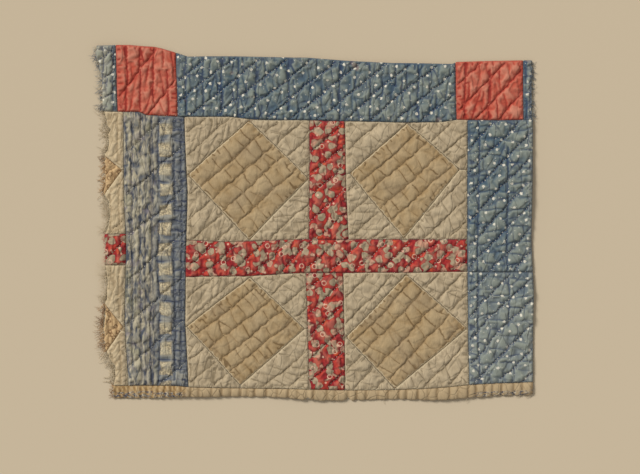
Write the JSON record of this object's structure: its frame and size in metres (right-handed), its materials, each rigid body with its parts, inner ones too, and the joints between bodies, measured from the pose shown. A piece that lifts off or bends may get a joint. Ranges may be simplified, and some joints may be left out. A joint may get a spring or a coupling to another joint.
{
  "type": "patchwork quilt section",
  "caption": "Flat-lying section of a hand-quilted patchwork: diamond-in-square blocks with printed sashing, dotted borders and a bound lower edge.",
  "frame": {"origin": "on the underside of the backing, at the middle of the section's box", "axes": "+X along the binding, to the right as the pieced top is seen; +Y towards the dotted top border; +Z out of the pieced top"},
  "size_m": [0.5396, 0.4379, 0.0059],
  "materials": {
    "indigo_dotted": "matt worn cotton, faded indigo with small white dots",
    "coral_red": "matt plain-weave cotton, coral red, crinkled",
    "red_print": "matt cotton print, crimson with cream blobs and rings",
    "floral_stripe": "matt cotton print, slate blue and cream floral stripe",
    "tan_cotton": "matt glazed-out cotton, tan",
    "cream_muslin": "matt unbleached muslin, aged",
    "brown_print": "matt cotton print, golden brown with rings",
    "binding_tan": "matt cotton strip, tan, gathered and worn at the fold",
    "batting_wool": "fluffy matted fibre, cream",
    "backing_muslin": "matt unbleached muslin"
  },
  "bodies": {
    "root": {"backing": "backing_muslin", "batting": "batting_wool", "binding_left": "binding_tan", "binding_right": "binding_tan", "block_lower_left_corner_bottom_left": "cream_muslin", "block_lower_left_corner_bottom_right": "cream_muslin", "block_lower_left_corner_top_left": "cream_muslin", "block_lower_left_corner_top_right": "cream_muslin", "block_lower_left_diamond": "tan_cotton", "block_lower_right_corner_bottom_left": "cream_muslin", "block_lower_right_corner_bottom_right": "cream_muslin", "block_lower_right_corner_top_left": "cream_muslin", "block_lower_right_corner_top_right": "cream_muslin", "block_lower_right_diamond": "tan_cotton", "block_upper_left_corner_bottom_left": "cream_muslin", "block_upper_left_corner_bottom_right": "cream_muslin", "block_upper_left_corner_top_left": "cream_muslin", "block_upper_left_corner_top_right": "cream_muslin", "block_upper_left_diamond": "tan_cotton", "block_upper_right_corner_bottom_left": "cream_muslin", "block_upper_right_corner_bottom_right": "cream_muslin", "block_upper_right_corner_top_left": "cream_muslin", "block_upper_right_corner_top_right": "cream_muslin", "block_upper_right_diamond": "tan_cotton", "border_right_lower": "indigo_dotted", "border_right_upper": "indigo_dotted", "border_top": "indigo_dotted", "border_top_left_end": "indigo_dotted", "border_top_right_end": "indigo_dotted", "corner_square_left": "coral_red", "corner_square_right": "coral_red", "floral_strip": "floral_stripe", "neighbour_lower_corner_bottom": "cream_muslin", "neighbour_lower_corner_top": "cream_muslin", "neighbour_lower_diamond_tip": "brown_print", "neighbour_sash_end": "red_print", "neighbour_upper_corner_bottom": "cream_muslin", "neighbour_upper_corner_top": "cream_muslin", "neighbour_upper_diamond_tip": "brown_print", "sash_horizontal": "red_print", "sash_vertical_lower": "red_print", "sash_vertical_upper": "red_print"}
  },
  "joints": []
}
